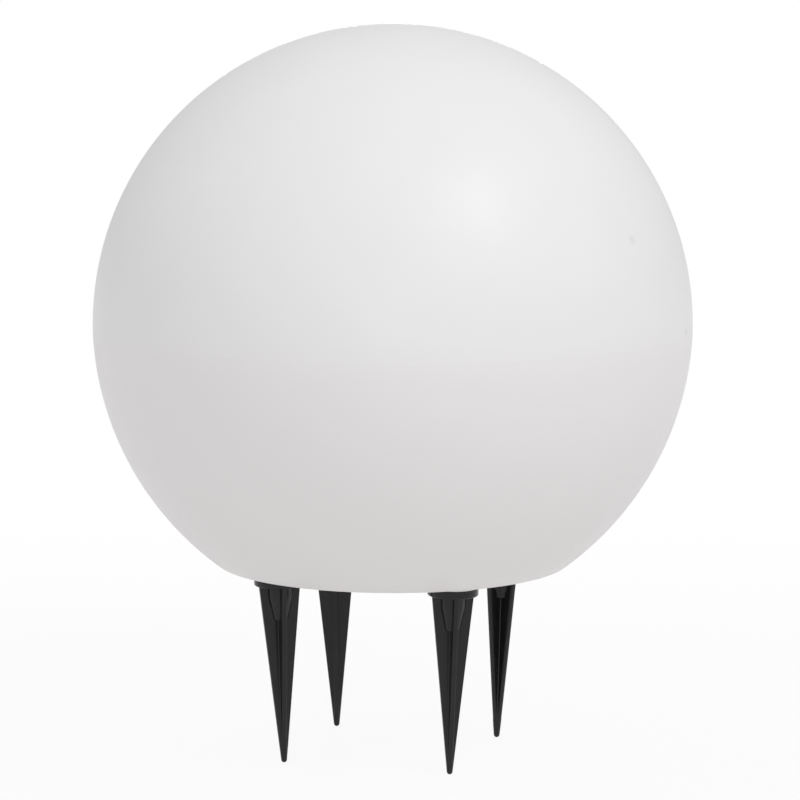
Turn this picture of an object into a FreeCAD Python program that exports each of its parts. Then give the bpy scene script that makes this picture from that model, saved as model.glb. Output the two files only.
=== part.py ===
import FreeCAD
import Part
import math
import os

# Garden globe light: a white moulded globe on four push-in ground spikes, with a
# lamp unit that is held in the neck of its base by a screwed retaining ring.
# Millimetres, +Z up. The origin is on the globe's axis, level with the spike tips.

# Globe
globe_radius = 250.0
globe_wall = 4.0
belly_radius = 203.0        # short tighter arc just under the parting line
belly_turn = 5.5            # degrees that this arc covers
lower_radius = 256.7        # long arc from the belly down to the rim
base_depth = 200.8          # parting line down to the rim
rim_fillet = 9.0
seam_rise = 0.4             # moulded parting line at the equator
seam_width = 2.4
edge_round = 0.8            # moulded edges that have no radius of their own
round_share = 0.45          # most of a side that the rounding of one corner may take

# Spikes. The base floor is dished by the same slope, so each spike stands square to it.
spike_circle = 106.3
spike_toe_in = 4.4          # how much nearer to the axis the tips stand
spike_length = 158.8        # flange top to tip
flange_radius = 21.0
flange_thickness = 6.9
vane_reach = 16.9           # at the underside of the flange
vane_thickness = 4.0
tip_radius = 2.2
hub_radius = 10.7
hub_straight = 9.7
hub_length = 29.4
hub_end_radius = 6.6
hub_floor = 3.5
hub_round = 1.5
plug_radius = 9.0
plug_length = 34.0
plug_lead_in = 1.5
plug_bore_radius = 6.0
core_end_radius = 3.6
plug_clearance = 0.1
plug_end_gap = 3.0
# how far each spike is turned in its socket, in degrees, going round from the back right one
spike_turns = {
    "back_right": 15.0,
    "back_left": 62.5,
    "front_left": 78.0,
    "front_right": 73.0,
}

# Seats and sockets for the spikes, moulded in the base
pad_radius = 22.0
pad_drop = 4.0              # how far the pads stand below the rim
pad_round = 1.0
pad_draft = 1.5             # how much wider the pad is at its root
socket_wall = 3.5
socket_roof = 4.0
socket_round = 3.0

# Neck of the globe
neck_radius = 57.0
neck_height = 40.0          # rim up to the underside of the lip
lip_width = 7.0
lip_thickness = 4.0
lip_round = 1.2
mouth_round = 4.0           # where the base turns up into the neck

# Neck gasket and retaining ring
fit_gap = 0.3
gasket_thickness = 2.5
gasket_width = 5.6
slip_ring_thickness = 1.5
slip_ring_width = 9.5
ring_height = 14.0
ring_width = 11.5
ring_lug_count = 6
ring_lug_reach = 5.0
ring_lug_thickness = 6.0
ring_lug_height = 7.0
ring_lug_round = 1.5
ring_round = 1.0

# Carrier with its wiring chamber
carrier_flange = 4.0
turret_height = 40.0
turret_foot_radius = 36.0
turret_head_radius = 27.0
turret_wall = 3.0
turret_head_round = 3.0
turret_foot_round = 2.0
gusset_height = 22.0        # webs between turret and flange
gusset_reach = 13.0
gusset_thickness = 2.4
boss_circle = 39.7
boss_radius = 4.5
boss_height = 10.0
screw_count = 3
screw_radius = 1.5
screw_length = 12.0
screw_head_radius = 3.2
screw_head_height = 2.2
screw_clearance = 0.1

# Chamber cover
cover_radius = 44.2
cover_thickness = 3.0
cover_rim = 1.3
chamber_gasket_thickness = 1.5
chamber_gasket_width = 2.8

# Hexagons
hex_angle = 30.0            # slope of the turned-off corners
hex_face = 0.97             # radius of the flat end that is left, as a share of half the flats
hex_outside = 1.02          # radius where the slope is clear of the corners, as a share of theirs

# Cable gland
gland_thread_radius = 8.0
gland_flat = 20.0           # across the flats
gland_hex_height = 5.0
gland_cage_length = 11.0
gland_spare = 1.0           # thread that shows past the locknut
claw_count = 8              # slits in the lower end of the gland's body
claw_length = 7.0
claw_gap = 1.2
gland_bore_radius = 5.6
gland_washer_thickness = 1.5
gland_washer_width = 3.6
locknut_flat = 22.0
locknut_height = 5.0
dome_length = 18.0
dome_mouth_radius = 4.6
dome_wall = 1.8
dome_shoulder = 2.2         # straight part under the hexagon
dome_round = 5.0
cable_radius = 3.5
seal_length = 11.0
seal_seat_gap = 0.1

# Terminal block
block_length = 17.0         # along the wires
block_pitch = 7.6
block_wall = 2.2
block_height = 12.0
block_gap = 0.5
block_edge = 0.8
block_notch_width = 1.4     # grooves between the poles, at both ends
block_notch_depth = 3.0
terminal_inset = 1.5        # how far the brass sleeves sit inside the block
fixing_screw_radius = 1.1   # screw that holds the block to the cover
fixing_screw_head_radius = 2.0
fixing_screw_bite = 2.0
insert_radius = 2.3
insert_bore_radius = 1.4
block_screw_radius = 1.2
lead_radius = 1.1
conductor_radius = 0.9
lead_grip = 1.5             # bare end past the clamp screw
lead_run = 6.0              # straight run at the block and below the nipple
lead_bends = [4.0, 5.0, 7.0, 2.6, 2.0]    # radii, from the block to the contacts

# Threaded nipple between carrier and lampholder
nipple_radius = 5.0
nipple_bore_radius = 3.6
nipple_nut_flat = 14.0
nipple_nut_height = 3.0
nipple_spare = 1.5

# Lampholder
holder_radius = 19.5
holder_cap_height = 24.0
holder_cap_floor = 4.0
holder_cap_wall = 2.0
holder_cap_round = 2.5
holder_ledge = 16.0
holder_ledge_width = 2.0
contact_base_thickness = 7.0
shell_wall = 2.4
shell_overlap = 12.0
shell_height = 27.0         # above the cap
shell_top_radius = 18.6
cap_thread_radius = 13.2    # lamp cap
contact_sleeve_gap = 0.3
contact_sleeve_wall = 0.5
contact_sleeve_length = 22.0
contact_screw_circle = 10.5
contact_screw_radius = 1.5
contact_screw_head = 1.0
contact_screw_head_radius = 2.5
tongue_width = 5.0
tongue_thickness = 0.5
tongue_rise = 2.5

# Lamp
pip_radius = 4.2
pip_height = 2.0
pip_gap = 0.1
insulator_height = 3.2
insulator_low_radius = 5.2
insulator_radius = 11.6
cap_height = 21.0
cap_wall = 0.5
cap_round = 0.9
bulb_radius = 30.0
bulb_length = 110.0         # pip to the top of the diffuser
housing_height = 31.0
housing_wall = 1.6
housing_bulge = 1.5         # how far the flared side swells past a straight one
board_shelf_width = 2.5
board_shelf_height = 2.0
board_thickness = 1.6
board_radius = 24.5
diffuser_wall = 1.3
chip_size = 3.5
chip_height = 0.9
chip_circle = 17.0
chip_count = 12
driver_width = 16.0
driver_height = 26.0
driver_thickness = 1.6

X = FreeCAD.Vector(1, 0, 0)
Y = FreeCAD.Vector(0, 1, 0)
Z = FreeCAD.Vector(0, 0, 1)

lean = math.asin(spike_toe_in / spike_length)

# Levels up the axis
seat_z = (spike_length - tip_radius) * math.cos(lean) + tip_radius
rim_z = seat_z + pad_drop
seam_z = rim_z + base_depth
lip_z = rim_z + neck_height
flange_z = lip_z - gasket_thickness                 # top of the carrier flange
flange_low_z = flange_z - carrier_flange
ring_z = flange_low_z - slip_ring_thickness         # top of the retaining ring
cover_top_z = flange_low_z - chamber_gasket_thickness
cover_low_z = cover_top_z - cover_thickness
gland_z = cover_low_z - gland_washer_thickness      # top of the gland's hexagon
gland_hex_low_z = gland_z - gland_hex_height
cage_low_z = gland_hex_low_z - gland_cage_length
dome_low_z = gland_hex_low_z - dome_length
turret_z = flange_z + turret_height                 # lampholder stands here
ledge_z = turret_z + holder_ledge
contact_z = ledge_z + contact_base_thickness        # face that carries the contacts
cap_top_z = turret_z + holder_cap_height
pip_z = contact_z + tongue_rise + tongue_thickness + pip_gap
insulator_z = pip_z + pip_height
thread_z = insulator_z + insulator_height
housing_z = thread_z + cap_height
board_z = housing_z + housing_height
bulb_top_z = pip_z + bulb_length


def point(r, z):
    return FreeCAD.Vector(r, 0, z)


def arc(centre, radius, start, end):
    """Arc in the XZ plane between two angles in radians."""
    def at(angle):
        return centre + point(radius * math.cos(angle), radius * math.sin(angle))
    return Part.Arc(at(start), at((start + end) / 2), at(end)).toShape()


def line(a, b):
    return Part.LineSegment(a, b).toShape()


def turned(edges):
    """Solid of revolution of a closed outline in the XZ plane."""
    face = Part.Face(Part.Wire(edges))
    return face.revolve(FreeCAD.Vector(), Z, 360)


def corner_arc(before, corner, after, radius):
    """Tangent arc across a corner, made smaller where the sides beside it are short."""
    arrive = (corner - before).normalize()
    leave = (after - corner).normalize()
    half_turn = arrive.getAngle(leave) / 2
    room = min((corner - before).Length, (after - corner).Length) * round_share
    back = min(radius * math.tan(half_turn), room)
    inward = (leave - arrive).normalize()
    middle = corner + inward * back * (1 - math.cos(half_turn)) / math.sin(half_turn)
    return Part.Arc(corner - arrive * back, middle, corner + leave * back).toShape()


def rounded(points, radii, closed):
    """Edges from point to point, with each corner rounded by its radius, or sharp where that is 0."""
    edges = []
    ends = []
    for k, radius in enumerate(radii):
        first = last = points[k]
        if radius:
            bend = corner_arc(points[k - 1], points[k], points[(k + 1) % len(points)], radius)
            first = bend.Vertexes[0].Point
            last = bend.Vertexes[-1].Point
            edges.append(bend)
        ends.append((first, last))
    following = ends[1:] + ends[:1] if closed else ends[1:]
    edges += [line(here[1], there[0]) for here, there in zip(ends, following)]
    return Part.__sortEdges__(edges)


def lathe(corners):
    """Solid of revolution of an outline given as (radius, height) corners.

    A third number is the radius that rounds its corner."""
    points = [point(corner[0], corner[1]) for corner in corners]
    radii = [sum(corner[2:]) for corner in corners]
    return turned(rounded(points, radii, True))


def disc(radius, low, high):
    return Part.makeCylinder(radius, high - low, FreeCAD.Vector(0, 0, low))


def tube(inner, outer, low, high):
    return disc(outer, low, high).cut(disc(inner, low, high))


def hexagon(flat, low, high):
    """Hexagonal bar with its corners turned off at both ends."""
    corner = flat / 2 / math.cos(math.radians(30))
    points = [FreeCAD.Rotation(Z, 60 * k).multVec(point(corner, low)) for k in range(7)]
    bar = Part.Face(Part.makePolygon(points)).extrude(Z * (high - low))
    face = flat / 2 * hex_face
    outside = corner * hex_outside
    slope = (outside - face) * math.tan(math.radians(hex_angle))
    return bar.common(lathe([
        (0, low), (face, low), (outside, low + slope), (outside, high - slope), (face, high), (0, high),
    ]))


def box(low, high):
    size = high - low
    return Part.makeBox(size.x, size.y, size.z, low)


def round_copies(shape, count, start=0.0):
    """Copies of a shape, evenly spaced round the axis."""
    copies = []
    for k in range(count):
        copy = shape.copy()
        copy.rotate(FreeCAD.Vector(), Z, start + 360.0 * k / count)
        copies.append(copy)
    return copies


# ---- Globe ----

def globe_outline(offset):
    """Outline of the globe from its top to the rim, moved inwards by offset.

    Returns its edges and the two ends of the floor line, at the rim and at the neck."""
    centre = point(0, seam_z)
    top = arc(centre, globe_radius - offset, math.pi / 2, 0)
    turn = math.radians(belly_turn)
    belly_centre = point(globe_radius - belly_radius, seam_z)
    belly = arc(belly_centre, belly_radius - offset, 0, -turn)
    down = point(math.cos(turn), -math.sin(turn))
    lower_centre = belly_centre + down * (belly_radius - lower_radius)
    corner_z = rim_z + rim_fillet
    reach = math.sqrt((lower_radius - rim_fillet) ** 2 - (corner_z - lower_centre.z) ** 2)
    corner = point(lower_centre.x + reach, corner_z)
    meet = math.atan2(corner.z - lower_centre.z, reach)
    lower = arc(lower_centre, lower_radius - offset, -turn, meet)
    rim = arc(corner, rim_fillet - offset, meet, -math.pi / 2 - lean)
    foot = rim.Vertexes[1].Point
    edge_radius = neck_radius + offset
    neck = point(edge_radius, foot.z + (foot.x - edge_radius) * math.tan(lean))
    return [top, belly, lower, rim], foot, neck


def globe_body():
    outer, outer_foot, outer_neck = globe_outline(0)
    inner, inner_foot, inner_neck = globe_outline(globe_wall)
    lip_top = lip_z + lip_thickness
    path = [
        outer_foot,
        outer_neck,
        point(neck_radius, lip_z),
        point(neck_radius - lip_width, lip_z),
        point(neck_radius - lip_width, lip_top),
        point(neck_radius + globe_wall, lip_top),
        inner_neck,
        inner_foot,
    ]
    neck = rounded(path, [0, mouth_round, 0, lip_round, lip_round, lip_round, mouth_round, 0], False)
    pole = line(point(0, seam_z + globe_radius - globe_wall), point(0, seam_z + globe_radius))
    edges = Part.__sortEdges__(outer + neck + inner + [pole])
    return turned(edges)


def parting_line():
    """Fine raised bead round the equator, where the two mould halves met."""
    root = globe_radius - globe_wall / 2
    half = seam_width / 2
    side = math.sqrt(globe_radius ** 2 - half ** 2)
    low = seam_z - half
    high = seam_z + half
    crest = point(globe_radius + seam_rise, seam_z)
    bead = Part.Arc(point(side, high), crest, point(side, low)).toShape()
    path = [point(side, low), point(root, low), point(root, high), point(side, high)]
    return turned([bead] + [line(a, b) for a, b in zip(path, path[1:])])


def spike_placement(name, turn=0.0):
    """Frame of a spike: origin on its seat, +Z up into the socket. The four stand in a square."""
    azimuth = 45 + 90 * list(spike_turns).index(name)
    rotation = FreeCAD.Rotation(Z, azimuth)
    seat = rotation.multVec(point(spike_circle, seat_z))
    rotation = rotation.multiply(FreeCAD.Rotation(Y, math.degrees(lean)))
    rotation = rotation.multiply(FreeCAD.Rotation(Z, turn))
    return FreeCAD.Placement(seat, rotation)


def placed(shape, placement):
    copy = shape.copy()
    copy.Placement = placement.multiply(copy.Placement)
    return copy


def globe_halves():
    """The globe's moulding, kept as two pieces that meet at its parting line."""
    shell = globe_body().fuse(parting_line())
    bore_radius = plug_radius + plug_clearance
    bore_depth = plug_length + plug_end_gap
    cup_radius = bore_radius + socket_wall
    cup_top = bore_depth + socket_roof
    root_z = pad_drop + globe_wall
    pad = lathe([
        (0, 0), (pad_radius, 0, pad_round), (pad_radius + pad_draft, root_z), (0, root_z),
    ])
    cup = lathe([(0, 0), (cup_radius, 0), (cup_radius, cup_top, socket_round), (0, cup_top)])
    seat = pad.fuse(cup)
    bore = disc(bore_radius, 0, bore_depth)
    for name in spike_turns:
        place = spike_placement(name)
        shell = shell.fuse(placed(seat, place)).cut(placed(bore, place))
    shell = shell.removeSplitter()
    above = disc(globe_radius * 2, seam_z, seam_z + globe_radius * 2)
    return shell.cut(above), shell.common(above)


# ---- Ground spike, in its own frame ----

def vane_envelope():
    """Cone that the four vanes end on, closed by the rounded tip."""
    top = -flange_thickness
    centre_z = -(spike_length - tip_radius)
    rise = top - centre_z
    # the straight flank touches the tip ball at this angle below the horizontal
    length = math.hypot(vane_reach, rise)
    slope = math.atan2(rise, vane_reach) - math.acos(tip_radius / length)
    touch = point(tip_radius * math.cos(slope), centre_z + tip_radius * math.sin(slope))
    ball = arc(point(0, centre_z), tip_radius, slope, -math.pi / 2)
    tip = point(0, -spike_length)
    head = point(vane_reach, top)
    return turned([line(point(0, top), head), line(head, touch), ball, line(tip, point(0, top))])


def vanes():
    envelope = vane_envelope()
    half = vane_thickness / 2
    blade = box(
        FreeCAD.Vector(-vane_reach * 2, -half, -spike_length),
        FreeCAD.Vector(vane_reach * 2, half, -flange_thickness),
    )
    blade = blade.common(envelope)
    long_edges = [edge for edge in blade.Edges if edge.BoundBox.ZLength > spike_length / 2]
    blade = blade.makeFillet(edge_round, long_edges)
    crossed = blade.copy()
    crossed.rotate(FreeCAD.Vector(), Z, 90)
    return blade, crossed


def ground_spike():
    under = -flange_thickness
    hub_low = under - hub_length
    body = lathe([
        (0, plug_length),
        (plug_radius - plug_lead_in, plug_length),
        (plug_radius, plug_length - plug_lead_in),
        (plug_radius, 0),
        (flange_radius, 0),
        (flange_radius, under, edge_round),
        (hub_radius, under, edge_round),
        (hub_radius, under - hub_straight, hub_round),
        (hub_end_radius, hub_low, hub_round),
        (0, hub_low),
    ])
    core = lathe([
        (0, plug_length),
        (plug_bore_radius, plug_length),
        (plug_bore_radius, under - hub_straight),
        (core_end_radius, hub_low + hub_floor),
        (0, hub_low + hub_floor),
    ])
    return body.fuse(list(vanes())).cut(core).removeSplitter()


# ---- Closure of the neck ----

def neck_gasket():
    outer = neck_radius - fit_gap
    return tube(outer - gasket_width, outer, flange_z, lip_z)


def slip_ring():
    """Thin washer that keeps the turning ring from dragging the carrier round."""
    outer = neck_radius - 2 * fit_gap
    return tube(outer - slip_ring_width, outer, ring_z, flange_low_z)


def retaining_ring():
    high = ring_z
    low = high - ring_height
    outer = neck_radius - fit_gap
    inner = outer - ring_width
    ring = lathe([(inner, high), (outer, high), (outer, low, ring_round), (inner, low, ring_round)])
    half = ring_lug_thickness / 2
    lug = box(
        FreeCAD.Vector(inner - ring_lug_reach, -half, low + ring_round),
        FreeCAD.Vector(inner + ring_width / 2, half, low + ring_round + ring_lug_height),
    )
    end_edges = [edge for edge in lug.Edges if edge.BoundBox.XMax < inner - ring_lug_reach / 2]
    lug = lug.makeFillet(ring_lug_round, end_edges)
    for copy in round_copies(lug, ring_lug_count):
        ring = ring.fuse(copy)
    return ring.removeSplitter()


# ---- Carrier and wiring chamber ----

def carrier_gusset():
    """Web between turret and flange. It starts in the middle of the turret's wall."""
    foot = turret_foot_radius - turret_wall / 2
    head = foot - gusset_height * (turret_foot_radius - turret_head_radius) / turret_height
    root_z = flange_z - carrier_flange / 2
    tip = turret_foot_radius + gusset_reach
    path = [(foot, root_z), (tip, root_z), (tip, flange_z), (head, flange_z + gusset_height), (foot, root_z)]
    web = Part.Face(Part.makePolygon([point(r, z) for r, z in path])).extrude(Y * gusset_thickness)
    web.translate(Y * -gusset_thickness / 2)
    return web


def lamp_carrier():
    outer = neck_radius - 2 * fit_gap
    head_low = turret_z - turret_wall
    hole = nipple_radius + fit_gap
    taper = (turret_foot_radius - turret_head_radius) / turret_height
    inner_head = turret_head_radius - turret_wall + taper * turret_wall
    inner_foot = turret_foot_radius - turret_wall
    inside = [(inner_foot, flange_low_z), (inner_foot, flange_z), (inner_head, head_low)]
    outside = [
        (hole, turret_z), (turret_head_radius, turret_z, turret_head_round),
        (turret_foot_radius, flange_z, turret_foot_round), (outer, flange_z, edge_round),
        (outer, flange_low_z, edge_round),
    ]
    carrier = lathe(outside + inside + [(hole, head_low)])
    hollow = lathe([(0, flange_low_z)] + inside + [(0, head_low)])
    boss_low = flange_low_z + carrier_flange / 2
    boss_top = flange_z + boss_height
    boss = lathe([(0, boss_low), (boss_radius, boss_low), (boss_radius, boss_top, edge_round), (0, boss_top)])
    boss.translate(X * boss_circle)
    pilot = disc(screw_radius + screw_clearance, flange_low_z, boss_top - turret_wall)
    pilot.translate(X * boss_circle)
    webs = round_copies(carrier_gusset(), screw_count, 180 / screw_count)
    for solid in round_copies(boss.cut(hollow), screw_count) + webs:
        carrier = carrier.fuse(solid)
    for hole in round_copies(pilot, screw_count):
        carrier = carrier.cut(hole)
    return carrier.removeSplitter()


def chamber_gasket():
    inner = turret_foot_radius - turret_wall + fit_gap
    return tube(inner, inner + chamber_gasket_width, cover_top_z, flange_low_z)


def chamber_cover():
    cover = lathe([
        (0, cover_low_z), (cover_radius, cover_low_z, edge_round), (cover_radius, flange_low_z),
        (cover_radius - cover_rim, flange_low_z), (cover_radius - cover_rim, cover_top_z), (0, cover_top_z),
    ])
    seat_end = block_middle() - Z * fixing_screw_bite
    cover = cover.cut(Part.makeCylinder(fixing_screw_radius, fixing_screw_bite, seat_end))
    cover = cover.cut(disc(gland_thread_radius + fit_gap, cover_low_z, cover_top_z))
    hole = disc(screw_radius + fit_gap, cover_low_z, cover_top_z)
    hole.translate(X * boss_circle)
    for copy in round_copies(hole, screw_count):
        cover = cover.cut(copy)
    return cover.removeSplitter()


def cover_screws():
    head_low = cover_low_z - screw_head_height
    head = lathe([
        (0, head_low), (screw_head_radius, head_low, edge_round), (screw_head_radius, cover_low_z),
        (0, cover_low_z),
    ])
    shank = disc(screw_radius, cover_low_z, cover_low_z + screw_length)
    arm = screw_head_radius / 2
    slot = box(
        FreeCAD.Vector(-arm, -arm / 4, head_low),
        FreeCAD.Vector(arm, arm / 4, cover_low_z - screw_head_height / 2),
    )
    cross = slot.copy()
    cross.rotate(FreeCAD.Vector(), Z, 90)
    screw = head.fuse(shank).cut(slot).cut(cross)
    screw.translate(X * boss_circle)
    return Part.makeCompound(round_copies(screw, screw_count))


# ---- Cable gland ----

def gland_body():
    """Hexagon with a thread on both sides. The lower end is slit into claws that close on the seal."""
    top = cover_top_z + locknut_height + gland_spare
    body = hexagon(gland_flat, gland_hex_low_z, gland_z)
    body = body.fuse(disc(gland_thread_radius, cage_low_z, top))
    body = body.cut(disc(gland_bore_radius, cage_low_z, top))
    slit = box(
        FreeCAD.Vector(0, -claw_gap / 2, cage_low_z),
        FreeCAD.Vector(gland_thread_radius * 2, claw_gap / 2, cage_low_z + claw_length),
    )
    for copy in round_copies(slit, claw_count):
        body = body.cut(copy)
    return body.removeSplitter()


def gland_washer():
    inner = gland_thread_radius + fit_gap
    return tube(inner, inner + gland_washer_width, gland_z, cover_low_z)


def gland_locknut():
    high = cover_top_z + locknut_height
    nut = hexagon(locknut_flat, cover_top_z, high)
    return nut.cut(disc(gland_thread_radius + screw_clearance, cover_top_z, high))


def gland_seal():
    """Rubber sleeve inside the gland's cage. The cable goes through it."""
    outer = gland_bore_radius - screw_clearance
    low = dome_seat_z(outer) + seal_seat_gap
    return tube(cable_radius, outer, low, low + seal_length)


def dome_seat_z(radius):
    """Height of the funnel inside the dome nut, which squeezes the seal."""
    bore = gland_thread_radius + screw_clearance
    return cage_low_z - screw_clearance - (bore - radius) / 2


def gland_dome_nut():
    top = gland_hex_low_z
    bore = gland_thread_radius + screw_clearance
    mouth = dome_mouth_radius
    flat_low = top - dome_length / 2
    hex_part = hexagon(gland_flat, flat_low, top)
    cup = lathe([
        (0, top), (gland_flat / 2, top), (gland_flat / 2, flat_low - dome_shoulder, dome_round),
        (mouth + dome_wall, dome_low_z, edge_round), (0, dome_low_z),
    ])
    inside = lathe([
        (0, top), (bore, top), (bore, dome_seat_z(bore)), (mouth, dome_seat_z(mouth)), (mouth, dome_low_z),
        (0, dome_low_z),
    ])
    return hex_part.fuse(cup).cut(inside).removeSplitter()


# ---- Terminal block and leads ----

def block_low_corner():
    locknut_corner = locknut_flat / 2 / math.cos(math.radians(30))
    return FreeCAD.Vector(locknut_corner + block_gap, -block_length / 2, cover_top_z)


def block_size():
    return FreeCAD.Vector(block_pitch * 2, block_length, block_height)


def pole_positions():
    """Axes of the two wire clamps, at the middle of the block."""
    low = block_low_corner()
    height = low.z + block_wall + insert_radius
    return [FreeCAD.Vector(low.x + block_pitch * (k + 0.5), 0, height) for k in range(2)]


def clamp_screw_spots():
    """Where the four clamp screws cross the axes of the poles."""
    return [
        FreeCAD.Vector(pole.x, side * block_length / 4, pole.z)
        for pole in pole_positions() for side in (-1, 1)
    ]


def block_middle():
    low = block_low_corner()
    return FreeCAD.Vector(low.x + block_pitch, 0, low.z)


def terminal_block():
    low = block_low_corner()
    block = box(low, low + block_size())
    top_edges = [edge for edge in block.Edges if edge.BoundBox.ZMin > low.z]
    block = block.makeChamfer(block_edge, top_edges)
    for pole in pole_positions():
        start = FreeCAD.Vector(pole.x, low.y, pole.z)
        block = block.cut(Part.makeCylinder(insert_radius, block_length, start, Y))
    for spot in clamp_screw_spots():
        block = block.cut(Part.makeCylinder(block_screw_radius + 2 * fit_gap, block_height, spot))
    notch = box(
        low + X * (block_pitch - block_notch_width / 2),
        low + X * (block_pitch + block_notch_width / 2) + Y * block_notch_depth + Z * block_height,
    )
    block = block.cut(notch)
    notch.translate(Y * (block_length - block_notch_depth))
    block = block.cut(notch)
    return block.cut(Part.makeCylinder(fixing_screw_radius + screw_clearance, block_height, block_middle()))


def fixing_screw():
    """Holds the terminal block to the cover, between its two poles."""
    head_z = block_low_corner().z + block_height
    shank_length = block_height + fixing_screw_bite
    shank = Part.makeCylinder(fixing_screw_radius, shank_length, block_middle() - Z * fixing_screw_bite)
    head_centre = FreeCAD.Vector(block_middle().x, 0, head_z)
    head = Part.makeCylinder(fixing_screw_head_radius, fixing_screw_radius, head_centre)
    return shank.fuse(head).removeSplitter()


def terminal_inserts():
    inset = terminal_inset
    sleeves = []
    for pole in pole_positions():
        start = FreeCAD.Vector(pole.x, -block_length / 2 + inset, pole.z)
        length = block_length - 2 * inset
        sleeve = Part.makeCylinder(insert_radius, length, start, Y)
        sleeve = sleeve.cut(Part.makeCylinder(insert_bore_radius, length, start, Y))
        for spot in clamp_screw_spots():
            if abs(spot.x - pole.x) < block_pitch / 2:
                sleeve = sleeve.cut(Part.makeCylinder(block_screw_radius, insert_radius * 2, spot))
        sleeves.append(sleeve)
    return Part.makeCompound(sleeves)


def terminal_screws():
    top = block_low_corner().z + block_height - block_wall / 2
    return Part.makeCompound([
        Part.makeCylinder(
            block_screw_radius - screw_clearance,
            top - spot.z - conductor_radius,
            spot + Z * conductor_radius,
        )
        for spot in clamp_screw_spots()
    ])


def swept(points, bends, radius):
    """Round wire through the points, with its inner corners bent to the given radii."""
    path = Part.Wire(rounded(points, [0] + bends + [0], False))
    section = Part.Wire(Part.makeCircle(radius, points[0], points[1] - points[0]))
    return path.makePipeShell([section], True, False)


def lead_points(pole, side):
    """From a wire clamp, up through the nipple and out to a contact screw."""
    grip = block_length / 4 + block_screw_radius + screw_clearance
    clamp = FreeCAD.Vector(pole.x, grip, pole.z)
    nipple_low = turret_z - turret_wall - nipple_nut_height - nipple_spare
    nipple_top = turret_z + holder_cap_floor + nipple_spare
    cavity = (nipple_top + ledge_z) / 2
    beside = side * (lead_radius + screw_clearance)
    out = block_length / 2 + lead_run
    return [
        clamp,
        FreeCAD.Vector(pole.x, out, pole.z),
        FreeCAD.Vector((pole.x + beside) / 2, out, pole.z + 2 * lead_run),
        FreeCAD.Vector(beside, 0, nipple_low - lead_run),
        FreeCAD.Vector(beside, 0, cavity),
        FreeCAD.Vector(side * contact_screw_circle, 0, cavity),
        FreeCAD.Vector(side * contact_screw_circle, 0, ledge_z - contact_screw_head),
    ]


def supply_lead(pole, side):
    """Insulated lead, with its bare end under the screws of a wire clamp."""
    points = lead_points(pole, side)
    cover = swept(points, lead_bends, lead_radius)
    far_screw = FreeCAD.Vector(pole.x, block_length / 4 - block_screw_radius - lead_grip, pole.z)
    bare = Part.makeCylinder(conductor_radius, points[0].y - far_screw.y, far_screw, Y)
    return cover.fuse(bare).removeSplitter()


def live_lead():
    return supply_lead(pole_positions()[0], -1)


def neutral_lead():
    return supply_lead(pole_positions()[1], 1)


# ---- Nipple and lampholder ----

def nipple():
    low = turret_z - turret_wall - nipple_nut_height - nipple_spare
    high = turret_z + holder_cap_floor + nipple_spare
    return tube(nipple_bore_radius, nipple_radius, low, high)


def nipple_nut():
    high = turret_z - turret_wall
    low = high - nipple_nut_height
    return hexagon(nipple_nut_flat, low, high).cut(disc(nipple_radius + screw_clearance, low, high))


def lampholder_cap():
    inner = holder_radius - holder_cap_wall
    ledge = inner - holder_ledge_width
    floor_z = turret_z + holder_cap_floor
    hole = nipple_radius + screw_clearance
    return lathe([
        (hole, turret_z), (holder_radius, turret_z, holder_cap_round), (holder_radius, cap_top_z),
        (inner, cap_top_z), (inner, ledge_z), (ledge, ledge_z), (ledge, floor_z), (hole, floor_z),
    ])


def contact_base():
    base = disc(holder_radius - holder_cap_wall - fit_gap, ledge_z, contact_z)
    for side in (-1, 1):
        hole = disc(contact_screw_radius + screw_clearance, ledge_z, contact_z)
        hole.translate(X * side * contact_screw_circle)
        base = base.cut(hole)
    return base


def contact_screws():
    screws = []
    for side in (-1, 1):
        head_low = ledge_z - contact_screw_head
        screw = disc(contact_screw_radius, head_low, contact_z)
        screw = screw.fuse(disc(contact_screw_head_radius, head_low, ledge_z))
        screw.translate(X * side * contact_screw_circle)
        screws.append(screw)
    return Part.makeCompound(screws)


def sleeve_radius():
    return cap_thread_radius + contact_sleeve_gap


def screw_contact():
    inner = sleeve_radius()
    high = contact_z + contact_sleeve_length
    sleeve = tube(inner, inner + contact_sleeve_wall, contact_z, high)
    foot = box(
        FreeCAD.Vector(contact_screw_circle - tongue_width / 2, -tongue_width / 2, contact_z),
        FreeCAD.Vector(inner + contact_sleeve_wall / 2, tongue_width / 2, contact_z + tongue_thickness),
    )
    return sleeve.fuse(foot).removeSplitter()


def centre_contact():
    """Springy tongue under the lamp's centre pip."""
    root = -contact_screw_circle - tongue_width / 2
    knee = -contact_screw_circle / 2
    top = contact_z + tongue_rise
    centre_line = [
        (root, contact_z), (knee, contact_z), (0, top), (pip_radius, top),
    ]
    upper = [(x, z + tongue_thickness) for x, z in reversed(centre_line)]
    corners = [FreeCAD.Vector(x, -tongue_width / 2, z) for x, z in centre_line + upper]
    corners.append(corners[0])
    return Part.Face(Part.makePolygon(corners)).extrude(Y * tongue_width)


def lampholder_shell():
    """Screws over the holder's cap and clamps the contact base."""
    bore = sleeve_radius() + contact_sleeve_wall + fit_gap
    sleeve_in = holder_radius + fit_gap
    sleeve_out = sleeve_in + shell_wall
    sleeve_low = cap_top_z - shell_overlap
    top = cap_top_z + shell_height
    press = holder_radius - holder_cap_wall - fit_gap
    return lathe([
        (bore, contact_z), (press, contact_z), (press, cap_top_z), (sleeve_in, cap_top_z),
        (sleeve_in, sleeve_low), (sleeve_out, sleeve_low, edge_round),
        (sleeve_out, cap_top_z + shell_wall, shell_wall), (shell_top_radius, top, edge_round),
        (bore, top, edge_round),
    ])


# ---- Lamp ----

def bulb_pip():
    return disc(pip_radius, pip_z, insulator_z)


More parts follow.
